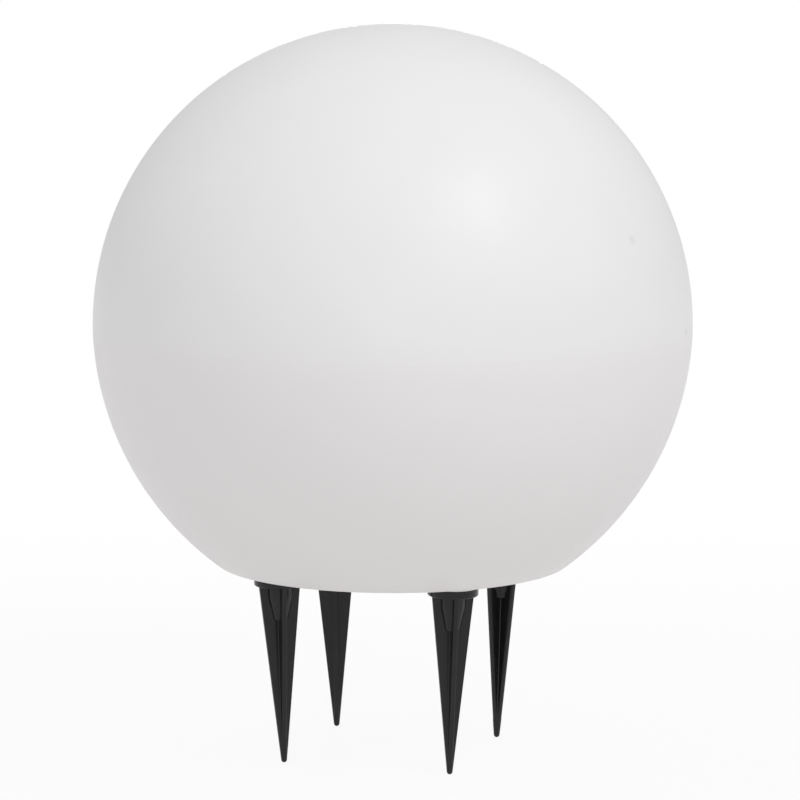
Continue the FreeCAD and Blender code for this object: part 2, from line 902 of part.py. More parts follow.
def bulb_insulator():
    return lathe([
        (0, insulator_z), (insulator_low_radius, insulator_z), (insulator_radius, thread_z), (0, thread_z),
    ])


def bulb_cap():
    outer = cap_thread_radius
    inner = outer - cap_wall
    return lathe([
        (insulator_radius - cap_wall, thread_z), (outer, thread_z, cap_round), (outer, housing_z),
        (inner, housing_z), (inner, thread_z + cap_wall), (insulator_radius - cap_wall, thread_z + cap_wall),
    ])


def housing_outline(offset):
    """Flared side of the lamp housing, from the cap up to the board, as one arc."""
    low = point(cap_thread_radius - offset, housing_z)
    high = point(bulb_radius - offset, board_z)
    swell = (cap_thread_radius + bulb_radius) / 2 + housing_bulge
    middle = point(swell - offset, (housing_z + board_z) / 2)
    return low, Part.Arc(low, middle, high).toShape(), high


def bulb_housing():
    low, side, high = housing_outline(0)
    in_low, in_side, in_high = housing_outline(housing_wall)
    neck = cap_thread_radius - cap_wall - screw_clearance
    neck_in = neck - housing_wall
    neck_z = housing_z - cap_height / 2
    ledge_low = board_z - board_thickness
    body = turned([
        side, line(high, point(0, board_z)), line(point(0, board_z), point(0, neck_z)),
        line(point(0, neck_z), point(neck, neck_z)), line(point(neck, neck_z), point(neck, housing_z)),
        line(point(neck, housing_z), low),
    ])
    hollow = turned([
        in_side, line(in_high, point(0, board_z)), line(point(0, board_z), point(0, housing_z)),
        line(point(0, housing_z), in_low),
    ])
    shelf = tube(board_radius - board_shelf_width, bulb_radius, ledge_low - board_shelf_height, ledge_low)
    drum = disc(neck_in, neck_z, housing_z + housing_wall)
    return body.cut(hollow).cut(drum).fuse(shelf.common(hollow)).removeSplitter()


def led_board():
    return disc(board_radius, board_z - board_thickness, board_z)


def led_chips():
    half = chip_size / 2
    chip = box(
        FreeCAD.Vector(chip_circle - half, -half, board_z),
        FreeCAD.Vector(chip_circle + half, half, board_z + chip_height),
    )
    return Part.makeCompound(round_copies(chip, chip_count))


def bulb_driver():
    half = driver_width / 2
    high = board_z - board_thickness
    return box(
        FreeCAD.Vector(-half, -driver_thickness / 2, high - driver_height),
        FreeCAD.Vector(half, driver_thickness / 2, high),
    )


def dome_outline(offset):
    """Opal dome: leaves the housing upright and closes over the board."""
    radius = bulb_radius - offset
    top = point(0, bulb_top_z - offset)
    centre = point(0, bulb_top_z - bulb_radius)
    round_part = arc(centre, radius, 0, math.pi / 2)
    side = line(point(radius, board_z), point(radius, centre.z))
    return side, round_part, top


def bulb_diffuser():
    side, over, top = dome_outline(0)
    in_side, in_over, in_top = dome_outline(diffuser_wall)
    foot = line(point(bulb_radius, board_z), point(bulb_radius - diffuser_wall, board_z))
    return turned(Part.__sortEdges__([side, over, line(top, in_top), in_over, in_side, foot]))


def main():
    lower_half, upper_half = globe_halves()
    parts = {
        "globe_shell": lower_half,
        "globe_dome": upper_half,
        "neck_gasket": neck_gasket(),
        "slip_ring": slip_ring(),
        "retaining_ring": retaining_ring(),
        "lamp_carrier": lamp_carrier(),
        "chamber_gasket": chamber_gasket(),
        "chamber_cover": chamber_cover(),
        "cover_screws": cover_screws(),
        "gland_body": gland_body(),
        "gland_washer": gland_washer(),
        "gland_locknut": gland_locknut(),
        "gland_seal": gland_seal(),
        "gland_dome_nut": gland_dome_nut(),
        "terminal_block": terminal_block(),
        "terminal_inserts": terminal_inserts(),
        "terminal_screws": terminal_screws(),
        "fixing_screw": fixing_screw(),
        "live_lead": live_lead(),
        "neutral_lead": neutral_lead(),
        "nipple": nipple(),
        "nipple_nut": nipple_nut(),
        "lampholder_cap": lampholder_cap(),
        "contact_base": contact_base(),
        "contact_screws": contact_screws(),
        "screw_contact": screw_contact(),
        "centre_contact": centre_contact(),
        "lampholder_shell": lampholder_shell(),
        "bulb_pip": bulb_pip(),
        "bulb_insulator": bulb_insulator(),
        "bulb_cap": bulb_cap(),
        "bulb_housing": bulb_housing(),
        "led_board": led_board(),
        "led_chips": led_chips(),
        "bulb_driver": bulb_driver(),
        "bulb_diffuser": bulb_diffuser(),
    }
    spike = ground_spike()
    for name, turn in spike_turns.items():
        parts["ground_spike_" + name] = placed(spike, spike_placement(name, turn))
    os.makedirs("parts", exist_ok=True)
    for name, shape in parts.items():
        shape.exportStep(os.path.join("parts", name + ".step"))
        print("%-26s solids %2d  volume %.1f" % (name, len(shape.Solids), shape.Volume))


main()
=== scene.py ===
import math

import bmesh
import bpy
import numpy as np
from mathutils import Matrix, Vector


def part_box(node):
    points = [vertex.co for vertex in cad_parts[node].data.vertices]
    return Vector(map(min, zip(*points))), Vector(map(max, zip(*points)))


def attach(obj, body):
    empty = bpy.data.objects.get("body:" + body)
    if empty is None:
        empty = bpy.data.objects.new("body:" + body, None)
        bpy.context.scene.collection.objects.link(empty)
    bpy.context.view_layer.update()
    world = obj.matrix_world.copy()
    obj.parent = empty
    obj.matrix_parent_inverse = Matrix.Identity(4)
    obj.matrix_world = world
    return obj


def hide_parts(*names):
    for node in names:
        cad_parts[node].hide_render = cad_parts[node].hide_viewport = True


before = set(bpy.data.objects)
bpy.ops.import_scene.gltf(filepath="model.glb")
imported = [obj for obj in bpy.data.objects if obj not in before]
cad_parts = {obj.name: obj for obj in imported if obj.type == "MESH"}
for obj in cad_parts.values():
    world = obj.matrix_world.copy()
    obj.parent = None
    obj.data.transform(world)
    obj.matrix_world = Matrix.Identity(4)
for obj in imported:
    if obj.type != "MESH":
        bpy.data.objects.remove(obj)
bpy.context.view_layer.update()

mm = 0.001


# boxes of the CAD nodes that the new pieces replace
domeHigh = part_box("globe_dome")[1]
ringLow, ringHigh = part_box("retaining_ring")
holderShellLow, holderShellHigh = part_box("lampholder_shell")
bulbCapLow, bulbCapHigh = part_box("bulb_cap")
nippleLow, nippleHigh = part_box("nipple")

globe = {
    "radius": 250 * mm,
    "wall": 4 * mm,
    "seamRise": 0.06 * mm,
    "seamWidth": 2.4 * mm,
    "bellyRadius": 203 * mm,
    "bellyTurn": math.radians(5.5),
    "lowerRadius": 256.7 * mm,
    "depth": 200.8 * mm,        # parting line to rim
    "rimFillet": 9 * mm,
    "neckRadius": 57 * mm,
    "neckHeight": 40 * mm,
    "lipWidth": 7 * mm,
    "lipThickness": 4 * mm,
    "threadPitch": 4 * mm,
    "threadDepth": 0.8 * mm,
    "rowsPerPitch": 9,
    "plainFoot": 2 * mm,        # neck below the first row of the thread
    "plainHead": 3 * mm,        # and above the last one
    "threadFoot": 3 * mm,       # where the groove fades in above the mouth
    "threadHead": 6 * mm,       # and out below the lip
    "mouthRound": 1.2 * mm,
    "lipRound": 0.8 * mm,
    "lipFillet": 1.5 * mm,
    "neckSkirt": 6 * mm,        # outside of the neck that is drawn below the lip
    "segments": 192,
}
seamHeight = domeHigh.z - globe["radius"]
rimHeight = seamHeight - globe["depth"]
lipHeight = rimHeight + globe["neckHeight"]

spike = {
    "lean": math.radians(1.588),
    "circle": 106.3 * mm,
    "length": 158.8 * mm,       # seat to tip
    "padDrop": 4 * mm,          # how far the seat stands below the rim
    "padRadius": 22 * mm,
    "flangeRadius": 21 * mm,
    "flangeThickness": 6.9 * mm,
    "flangeEdge": 1.0 * mm,
    "vaneReach": 17.6 * mm,
    "vaneHalf": 2 * mm,
    "edgeRound": 0.55 * mm,
    "rootRound": 1.0 * mm,
    "tipRadius": 2.5 * mm,
    "hubRadius": 10.7 * mm,
    "hubStraight": 9.7 * mm,
    "hubLength": 29.4 * mm,
    "hubEndRadius": 6.6 * mm,
    "plugRadius": 9 * mm,
    "plugLength": 34 * mm,
    "plugBore": 6 * mm,
    "plugFloor": 26 * mm,       # how far the bore's floor lies below the flange
    "plugBevel": (1.2 * mm, 1.6 * mm),      # in and down from the plug's end
    "plugRound": 0.5 * mm,
    "boreMouth": 0.6 * mm,
    "boreShoulder": (8 * mm, 3 * mm),       # depth below the flange and rounding
    "boreFloor": (3.2 * mm, 1 * mm),        # radius and rounding
    "plugFoot": 0.6 * mm,
    "flangeRound": 0.5 * mm,
    "vaneInset": 0.2 * mm,      # first row of the vanes inside their reach
    "hubTop": 0.8 * mm,         # first row of the straight hub below the flange
    "hubFoot": 0.5 * mm,        # rounding at the hub's lower end
    "sidePoints": 10,
}
spikePlaces = {                 # azimuth round the base and turn in the socket, in degrees
    "FrontLeft": ("front_left", 225, 78),
    "FrontRight": ("front_right", 315, 73),
    "BackLeft": ("back_left", 135, 62.5),
    "BackRight": ("back_right", 45, 15),
}
seatHeight = rimHeight - spike["padDrop"]


cameraValues = {
    "azimuth": math.radians(17),
    "elevation": math.radians(7.27),
    "distance": 3.527,          # from the globe's centre
    "lens": 190.0,
    "aimRight": 6.2 * mm,
    "aimUp": -64.1 * mm,
    "roll": math.radians(0.15),
}


def addCamera(values):
    azimuth, elevation = values["azimuth"], values["elevation"]
    centre = Vector((0, 0, seamHeight))
    right = Vector((math.cos(azimuth), math.sin(azimuth), 0))
    level = math.cos(elevation)
    back = Vector((math.sin(azimuth) * level, -math.cos(azimuth) * level, math.sin(elevation)))
    place = centre + back * values["distance"]
    aim = centre + right * values["aimRight"] + Vector((0, 0, values["aimUp"]))
    data = bpy.data.cameras.new("photoCamera")
    data.lens = values["lens"]
    data.sensor_width = 36
    data.clip_start, data.clip_end = 0.05, 50
    camera = bpy.data.objects.new("photoCamera", data)
    bpy.context.collection.objects.link(camera)
    turn = (aim - place).to_track_quat("-Z", "Y").to_matrix().to_4x4()
    camera.matrix_world = Matrix.Translation(place) @ turn @ Matrix.Rotation(values["roll"], 4, "Z")
    bpy.context.scene.camera = camera


addCamera(cameraValues)
print("camera placed")


def arcPoints(centre, radius, start, end, count):
    # centre plus radius times cosine and sine, as radius and height pairs
    angles = np.linspace(start, end, count)
    return np.column_stack([centre[0] + radius * np.cos(angles), centre[1] + radius * np.sin(angles)])


def softOutline(corners, closed=True, steps=5):
    # Each corner is (radius, height, rounding). A rounding is the arc tangent to the two sides that
    # meet at the corner: it leaves each side at rounding / tan(half the angle between them).
    points = []
    count = len(corners)
    for k, (r, z, rounding) in enumerate(corners):
        here = np.array([r, z])
        ends = not closed and k in (0, count - 1)
        if rounding <= 0 or ends:
            points.append(here[None])
            continue
        before = np.array(corners[k - 1][:2]) - here
        after = np.array(corners[(k + 1) % count][:2]) - here
        before /= np.linalg.norm(before)
        after /= np.linalg.norm(after)
        half = math.acos(np.clip(before @ after, -1, 1)) / 2
        middle = before + after
        centre = here + middle / np.linalg.norm(middle) * rounding / math.sin(half)
        start = here + before * rounding / math.tan(half) - centre
        end = here + after * rounding / math.tan(half) - centre
        sweep = math.atan2(start[0] * end[1] - start[1] * end[0], start @ end)
        angles = np.linspace(0, sweep, steps)
        points.append(np.column_stack([
            centre[0] + start[0] * np.cos(angles) - start[1] * np.sin(angles),
            centre[1] + start[0] * np.sin(angles) + start[1] * np.cos(angles),
        ]))
    return np.concatenate(points)


def turnedGrid(outline, segments, change=None):
    # point (i, j) is outline point j turned by angle i; change may alter radius and height there
    angles = np.linspace(0, 2 * np.pi, segments, endpoint=False)[:, None]
    radius = np.repeat(outline[None, :, 0], segments, 0)
    height = np.repeat(outline[None, :, 1], segments, 0)
    if change:
        radius, height = change(angles, radius, height)
    return np.stack([radius * np.cos(angles), radius * np.sin(angles), height], -1)


def gridFaces(rows, columns, closeRows, closeColumns, offset=0):
    # quads between neighbours (i, j), (i + 1, j), (i + 1, j + 1), (i, j + 1), with wrap-around
    index = np.arange(rows * columns).reshape(rows, columns)
    if closeRows:
        index = np.concatenate([index, index[:1]])
    if closeColumns:
        index = np.concatenate([index, index[:, :1]], 1)
    quads = np.stack([index[:-1, :-1], index[1:, :-1], index[1:, 1:], index[:-1, 1:]], -1)
    return quads.reshape(-1, 4) + offset


def meshObject(name, grids, sharpAngle=math.radians(38)):
    # each grid is (points, closeColumns); its rows always run all the way round
    vertices, faces, offset = [], [], 0
    for points, closeColumns in grids:
        rows, columns = points.shape[:2]
        vertices.append(points.reshape(-1, 3))
        faces.append(gridFaces(rows, columns, True, closeColumns, offset))
        offset += rows * columns
    mesh = bpy.data.meshes.new(name)
    mesh.from_pydata(np.concatenate(vertices).tolist(), [], np.concatenate(faces).tolist())
    cleanMesh(mesh, sharpAngle)
    thing = bpy.data.objects.new(name, mesh)
    bpy.context.collection.objects.link(thing)
    return thing


def cleanMesh(mesh, sharpAngle=math.radians(38)):
    work = bmesh.new()
    work.from_mesh(mesh)
    bmesh.ops.remove_doubles(work, verts=work.verts, dist=2e-6)
    bmesh.ops.dissolve_degenerate(work, edges=work.edges, dist=1e-7)
    bmesh.ops.recalc_face_normals(work, faces=work.faces)
    for face in work.faces:
        face.smooth = True
    for edge in work.edges:
        edge.smooth = not (len(edge.link_faces) == 2 and edge.calc_face_angle(0) > sharpAngle)
    work.to_mesh(mesh)
    work.free()
    mesh.update()


def evenNormals(thing):
    # keeps the broad flat faces flat beside their small roundings
    weighted = thing.modifiers.new("evenNormals", "WEIGHTED_NORMAL")
    weighted.keep_sharp = True
    weighted.weight = 50


def combine(thing, other, operation):
    # union or difference with another object, which is used up
    step = thing.modifiers.new("combine", "BOOLEAN")
    step.object = other
    step.operation = operation
    step.solver = "EXACT"
    graph = bpy.context.evaluated_depsgraph_get()
    mesh = bpy.data.meshes.new_from_object(thing.evaluated_get(graph))
    thing.modifiers.clear()
    thing.data = mesh
    bpy.data.objects.remove(other)
    cleanMesh(mesh)


def moved(points, matrix):
    turn = np.array(matrix.to_3x3())
    return points @ turn.T + np.array(matrix.translation)


def dress(thing, material, body, slotName, *nodes):
    thing.data.materials.clear()
    thing.data.materials.append(material)
    evenNormals(thing)
    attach(thing, body)
    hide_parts(*nodes)


def newMaterial(name):
    material = bpy.data.materials.new(name)
    material.use_nodes = True
    nodes = material.node_tree.nodes
    shader = nodes["Principled BSDF"]
    coordinates = nodes.new("ShaderNodeTexCoord")
    return material, nodes, material.node_tree.links, shader, coordinates.outputs["Object"]


def addNoise(nodes, links, place, scale, detail=4.0, roughness=0.55, stretch=None):
    noise = nodes.new("ShaderNodeTexNoise")
    noise.inputs["Scale"].default_value = scale
    noise.inputs["Detail"].default_value = detail
    noise.inputs["Roughness"].default_value = roughness
    if stretch:
        mapping = nodes.new("ShaderNodeMapping")
        mapping.inputs["Scale"].default_value = stretch
        links.new(place, mapping.inputs["Vector"])
        place = mapping.outputs["Vector"]
    links.new(place, noise.inputs["Vector"])
    return noise.outputs["Fac"]


def spread(nodes, links, value, low, high, fromLow=0.3, fromHigh=0.7):
    ranged = nodes.new("ShaderNodeMapRange")
    ranged.inputs["From Min"].default_value = fromLow
    ranged.inputs["From Max"].default_value = fromHigh
    ranged.inputs["To Min"].default_value = low
    ranged.inputs["To Max"].default_value = high
    links.new(value, ranged.inputs["Value"])
    return ranged.outputs["Result"]


def blendColours(nodes, links, factor, first, second):
    mix = nodes.new("ShaderNodeMix")
    mix.data_type = "RGBA"
    links.new(factor, mix.inputs["Factor"])
    for socket, colour in ((mix.inputs[6], first), (mix.inputs[7], second)):
        if isinstance(colour, tuple):
            socket.default_value = (*colour, 1)
        else:
            links.new(colour, socket)
    return mix.outputs[2]


def addBump(nodes, links, shader, height, strength, distance):
    bump = nodes.new("ShaderNodeBump")
    bump.inputs["Strength"].default_value = strength
    bump.inputs["Distance"].default_value = distance
    links.new(height, bump.inputs["Height"])
    links.new(bump.outputs["Normal"], shader.inputs["Normal"])
    return bump


def mouldedPlastic(name, colour, shade, rough, grain=900.0, grainDepth=0.02 * mm, coat=0.0, gleam=0.5):
    # two close tones in soft clouds, uneven gloss and a fine moulded grain
    material, nodes, links, shader, place = newMaterial(name)
    clouds = spread(nodes, links, addNoise(nodes, links, place, 22.0), 0, 1)
    links.new(blendColours(nodes, links, clouds, colour, shade), shader.inputs["Base Color"])
    gloss = addNoise(nodes, links, place, 60.0)
    links.new(spread(nodes, links, gloss, rough * 0.85, rough * 1.2), shader.inputs["Roughness"])
    addBump(nodes, links, shader, addNoise(nodes, links, place, grain, 2.0), 0.5, grainDepth)
    shader.inputs["Specular IOR Level"].default_value = gleam
    shader.inputs["Coat Weight"].default_value = coat
    shader.inputs["Coat Roughness"].default_value = 0.12
    return material


def turnedMetal(name, colour, shade, rough, lines=2600.0):
    # fine rings left by the lathe, with a cloudy tarnish
    material, nodes, links, shader, place = newMaterial(name)
    clouds = spread(nodes, links, addNoise(nodes, links, place, 180.0), 0, 1)
    links.new(blendColours(nodes, links, clouds, colour, shade), shader.inputs["Base Color"])
    rings = addNoise(nodes, links, place, lines, 1.0, 0.5, (0.05, 0.05, 1.0))
    links.new(spread(nodes, links, rings, rough * 0.8, rough * 1.3), shader.inputs["Roughness"])
    addBump(nodes, links, shader, rings, 0.25, 0.01 * mm)
    shader.inputs["Metallic"].default_value = 1.0
    return material


opal = {
    # upper and lower are painted light and shade: the half above the seam is painted lighter and the half
    # below darker
    "upper": (0.905, 0.903, 0.915),
    "lower": (0.880, 0.869, 0.874),
    "cloud": (0.865, 0.858, 0.862),
    "roughness": 0.40,
    "gleam": 0.32,
    "cloudScale": 9.0,
    "glossScale": 35.0,
    "skinScale": 420.0,         # fine grain of the mould
    "skinDepth": 0.03 * mm,
    "swellScale": 16.0,         # broad unevenness of the wall
    "swellDepth": 0.6 * mm,
    "seamBlend": 15 * mm,       # how far the painted lit and painted shaded tones run into each other
    "markTone": (0.62, 0.62, 0.63),
    "marks": [                  # place, radius and strength of the small moulding marks
        ((222.7 * mm, -74.1 * mm, 449.2 * mm), 5.2 * mm, 0.24),
        ((249.9 * mm, 4.1 * mm, 366.4 * mm), 5.0 * mm, 0.30),
    ],
}


def opalPolyethylene(values):
    material, nodes, links, shader, place = newMaterial("opalPolyethylene")
    split = nodes.new("ShaderNodeSeparateXYZ")
    links.new(place, split.inputs["Vector"])
    # painted shade: the globe is painted darker below the seam and lighter above it, for the light that
    # falls on it from above
    blend = values["seamBlend"]
    half = spread(nodes, links, split.outputs["Z"], 0, 1, seamHeight - blend, seamHeight + blend)
    paintedShadeTone = blendColours(nodes, links, half, values["lower"], values["upper"])
    clouds = addNoise(nodes, links, place, values["cloudScale"], 3.0)
    skinTone = blendColours(nodes, links, spread(nodes, links, clouds, 0, 0.35), paintedShadeTone, values["cloud"])
    for centre, radius, strength in values["marks"]:
        away = nodes.new("ShaderNodeVectorMath")
        away.operation = "DISTANCE"
        away.inputs[1].default_value = centre
        links.new(place, away.inputs[0])
        mark = spread(nodes, links, away.outputs["Value"], strength, 0, radius * 0.4, radius)
        skinTone = blendColours(nodes, links, mark, skinTone, values["markTone"])
    links.new(skinTone, shader.inputs["Base Color"])
    gloss = addNoise(nodes, links, place, values["glossScale"])
    rough = values["roughness"]
    links.new(spread(nodes, links, gloss, rough * 0.92, rough * 1.08), shader.inputs["Roughness"])
    skin = addNoise(nodes, links, place, values["skinScale"], 3.0)
    swell = addNoise(nodes, links, place, values["swellScale"], 2.0)
    fine = addBump(nodes, links, shader, skin, 0.35, values["skinDepth"])
    broad = nodes.new("ShaderNodeBump")
    broad.inputs["Strength"].default_value = 0.5
    broad.inputs["Distance"].default_value = values["swellDepth"]
    links.new(swell, broad.inputs["Height"])
    links.new(broad.outputs["Normal"], fine.inputs["Normal"])
    shader.inputs["Specular IOR Level"].default_value = values["gleam"]
    return material


finishes = {
    "opal": opalPolyethylene(opal),
    "spike": mouldedPlastic(
        "glossBlackPlastic", (0.010, 0.010, 0.011), (0.014, 0.014, 0.015), 0.17, 700.0, 0.006 * mm,
        gleam=0.30),
    "black": mouldedPlastic("satinBlackPlastic", (0.014, 0.014, 0.015), (0.022, 0.022, 0.023), 0.38),
    "grey": mouldedPlastic("greyPlastic", (0.60, 0.60, 0.59), (0.55, 0.55, 0.54), 0.42),
    "rubber": mouldedPlastic(
        "blackRubber", (0.018, 0.018, 0.018), (0.03, 0.03, 0.03), 0.75, 500.0, 0.05 * mm),
    "nylon": mouldedPlastic("naturalNylon", (0.80, 0.78, 0.72), (0.76, 0.74, 0.68), 0.45),
    "thermoset": mouldedPlastic("blackThermoset", (0.012, 0.012, 0.013), (0.02, 0.02, 0.02), 0.22),
    "ceramic": mouldedPlastic(
        "glazedCeramic", (0.82, 0.81, 0.77), (0.78, 0.77, 0.73), 0.18, 300.0, 0.03 * mm, 0.6),
    "lampBody": mouldedPlastic("lampWhitePlastic", (0.86, 0.86, 0.86), (0.82, 0.82, 0.82), 0.40),
    "lampDome": mouldedPlastic("lampOpalDome", (0.90, 0.90, 0.89), (0.87, 0.87, 0.86), 0.32, 250.0),
    "brownLead": mouldedPlastic("brownInsulation", (0.16, 0.06, 0.03), (0.20, 0.08, 0.04), 0.35),
    "blueLead": mouldedPlastic("blueInsulation", (0.03, 0.10, 0.35), (0.04, 0.13, 0.42), 0.35),
    "steel": turnedMetal("zincedSteel", (0.62, 0.62, 0.61), (0.54, 0.54, 0.54), 0.32),
    "brass": turnedMetal("turnedBrass", (0.70, 0.52, 0.26), (0.60, 0.43, 0.20), 0.28),
    "nickel": turnedMetal("nickelPlate", (0.66, 0.65, 0.62), (0.58, 0.57, 0.54), 0.22),
    "board": mouldedPlastic("whiteSolderMask", (0.84, 0.85, 0.85), (0.80, 0.81, 0.81), 0.35),
    "driver": mouldedPlastic("greenBoard", (0.03, 0.16, 0.06), (0.04, 0.20, 0.08), 0.35),
    "phosphor": mouldedPlastic("yellowPhosphor", (0.80, 0.62, 0.14), (0.74, 0.56, 0.12), 0.45),
}
print("materials made")


def globeOutline(values, offset):
    # Half circle above the seam, tighter belly arc, long lower arc, rim rounding, then the dished floor.
    # Each arc's centre lies on the line through the last arc's end and centre, so they meet smoothly.
    lean = spike["lean"]
    rows = 64 if offset == 0 else 36
    top = arcPoints((0, seamHeight), values["radius"] - offset, math.pi / 2, 0, rows)
    turn = values["bellyTurn"]
    bellyX = values["radius"] - values["bellyRadius"]
    belly = arcPoints((bellyX, seamHeight), values["bellyRadius"] - offset, 0, -turn, 5)
    reach = values["bellyRadius"] - values["lowerRadius"]
    centre = (bellyX + reach * math.cos(turn), seamHeight - reach * math.sin(turn))
    fillet = values["rimFillet"]
    cornerZ = rimHeight + fillet
    across = math.sqrt((values["lowerRadius"] - fillet) ** 2 - (cornerZ - centre[1]) ** 2)
    corner = (centre[0] + across, cornerZ)
    meet = math.atan2(cornerZ - centre[1], across)
    lower = arcPoints(centre, values["lowerRadius"] - offset, -turn, meet, rows // 2)
    rim = arcPoints(corner, fillet - offset, meet, -math.pi / 2 - lean, 10)
    foot = rim[-1]
    edge = values["neckRadius"] + offset
    floorX = np.linspace(foot[0], edge, 7)[1:]
    floor = np.column_stack([floorX, foot[1] + (foot[0] - floorX) * math.tan(lean)])
    return top, np.concatenate([belly[1:], lower[1:], rim[1:], floor])


def neckThread(values, low, high):
    # groove radius grows by the thread's depth times a flattened sine of height and angle
    def change(angles, radius, height):
        inside = (height > low) & (height < high) & (np.abs(radius - values["neckRadius"]) < 1e-6)
        wave = np.sin(2 * np.pi * (height / values["threadPitch"]) + angles)
        fade = np.clip(np.minimum(height - low, high - height) / values["threadPitch"], 0, 1)
        groove = values["threadDepth"] * np.clip(wave * 1.6 + 0.2, 0, 1) * fade
        return radius + np.where(inside, groove, 0), height
    return change


spikeSeat = {
    "play": 0.1 * mm,
    "spareDepth": 3 * mm,       # room beyond the plug's end
    "padRound": 1.2 * mm,
    "padFlare": 1.5 * mm,
    "padEdge": 0.8 * mm,
    "cupWall": 3.5 * mm,
    "cupFoot": 2.5 * mm,
    "cupTaper": 0.6 * mm,
    "cupEnd": 4 * mm,
    "cupRound": 1.5 * mm,
    "mouthBevel": 0.5 * mm,
    "mouthDepth": 0.7 * mm,
    "boreRound": 1 * mm,
    "cutterStart": 2 * mm,      # how far the cutter starts outside the pad
    "segments": 48,
}


def seatShapes(plug, seat):
    # raised pad and socket cup of each spike as one closed turned shape, and the bores to cut
    bore = plug["plugRadius"] + seat["play"]
    depth = plug["plugLength"] + seat["spareDepth"]
    cup, cupTop = bore + seat["cupWall"], depth + seat["cupEnd"]
    pad, padTop = plug["padRadius"], plug["padDrop"] + globe["wall"]
    outline = softOutline([
        (0, 0, 0), (pad, 0, seat["padRound"]), (pad + seat["padFlare"], padTop, seat["padEdge"]),
        (cup, padTop, seat["cupFoot"]), (cup - seat["cupTaper"], cupTop, seat["cupRound"]), (0, cupTop, 0),
    ], closed=False)
    mouth, start = bore + seat["mouthBevel"], -seat["cutterStart"]
    cutter = softOutline([
        (0, start, 0), (mouth, start, 0), (mouth, 0, 0), (bore, seat["mouthDepth"], 0),
        (bore, depth, seat["boreRound"]), (0, depth, 0),
    ], closed=False)
    places = [spikeMatrix(azimuth, 0) for _, azimuth, _ in spikePlaces.values()]
    seats = [(moved(turnedGrid(outline, seat["segments"]), place), False) for place in places]
    bores = [(moved(turnedGrid(cutter, seat["segments"]), place), False) for place in places]
    return meshObject("seats", seats), meshObject("bores", bores)


def spikeMatrix(azimuth, turn):
    angle = math.radians(azimuth)
    seat = Vector((spike["circle"] * math.cos(angle), spike["circle"] * math.sin(angle), seatHeight))
    rotation = Matrix.Rotation(angle, 4, "Z") @ Matrix.Rotation(spike["lean"], 4, "Y")
    return Matrix.Translation(seat) @ rotation @ Matrix.Rotation(math.radians(turn), 4, "Z")


def makeGlobe(values):
    outerTop, outerLow = globeOutline(values, 0)
    innerTop, innerLow = globeOutline(values, values["wall"])
    half = values["seamWidth"] / 2
    across = np.linspace(half, -half, 9)
    shape = np.cos(across / half * math.pi / 2)
    beadRadius = np.sqrt(values["radius"] ** 2 - across ** 2) + values["seamRise"] * shape
    bead = np.column_stack([beadRadius, seamHeight + across])
    outerTop = outerTop[outerTop[:, 1] > seamHeight + half]
    outerLow = outerLow[outerLow[:, 1] < seamHeight - half]
    neck, lip, thick = values["neckRadius"], values["lipWidth"], values["lipThickness"]
    neckLow = outerLow[-1][1]
    rowStep = values["threadPitch"] / values["rowsPerPitch"]
    threadRows = np.arange(neckLow + values["plainFoot"], lipHeight - values["plainHead"], rowStep)
    wall = np.column_stack([np.full(len(threadRows), neck), threadRows])
    rounding, outside = values["lipRound"], neck + values["wall"]
    lipPath = softOutline([
        (neck, threadRows[-1], 0), (neck, lipHeight, rounding), (neck - lip, lipHeight, rounding),
        (neck - lip, lipHeight + thick, rounding), (outside, lipHeight + thick, values["lipFillet"]),
        (outside, lipHeight - values["neckSkirt"], 0),
    ], closed=False)
    mouth = values["mouthRound"]
    edge = softOutline([(*outerLow[-2], 0), (neck, neckLow, mouth), (neck, threadRows[0], 0)], False)
    outline = np.concatenate([
        outerTop, bead, outerLow[:-1], edge[1:-1], wall, lipPath[1:], innerLow[::-1], innerTop[::-1][1:],
    ])
    change = neckThread(values, neckLow + values["threadFoot"], lipHeight - values["threadHead"])
    thing = meshObject("globeShell", [(turnedGrid(outline, values["segments"], change), False)])
    seats, bores = seatShapes(spike, spikeSeat)
    combine(thing, seats, "UNION")
    combine(thing, bores, "DIFFERENCE")
    # one moulding, so it replaces both halves of the CAD globe
    dress(thing, finishes["opal"], "globe", "opal_polyethylene", "globe_shell", "globe_dome")


makeGlobe(globe)
print("globe made")


def vaneSection(values, reach):
    # One eighth of the cross: along the vane's end, round its edge, along its side to the inner corner.
    # Side points are spaced evenly by angle, so the hub that is pushed out through them stays round.
    half, edge, root = values["vaneHalf"], values["edgeRound"], values["rootRound"]
    tipX = math.sqrt(max(reach ** 2 - half ** 2, (half + root + edge) ** 2))
    end = np.column_stack([[reach, math.sqrt(max(reach ** 2 - (half / 2) ** 2, 0))], [0, half / 2]])
    corner = arcPoints((tipX - edge, half - edge), edge, 0.15, math.pi / 2, 4)
    first = math.atan2(half, tipX - edge)
    last = math.atan2(half, half + root)
    angles = np.linspace(first, last, values["sidePoints"] + 1)[1:]
    side = np.column_stack([half / np.tan(angles), np.full(len(angles), half)])
    inner = arcPoints((half + root, half + root), root, -math.pi / 2, -math.pi * 3 / 4, 4)[1:]
    section = np.concatenate([end, corner, side, inner])
    size = np.linalg.norm(section, axis=1)
    return section * np.minimum(1, reach / size)[:, None]


def fullCross(eighth):
    # the eighth mirrored in the diagonal, then turned three times by a right angle
    mirrored = eighth[:-1][::-1][:, ::-1]
    quarter = np.concatenate([eighth, mirrored[:-1]])
    turns = [quarter]
    for _ in range(3):
        last = turns[-1]
        turns.append(np.column_stack([-last[:, 1], last[:, 0]]))
    return np.concatenate(turns)


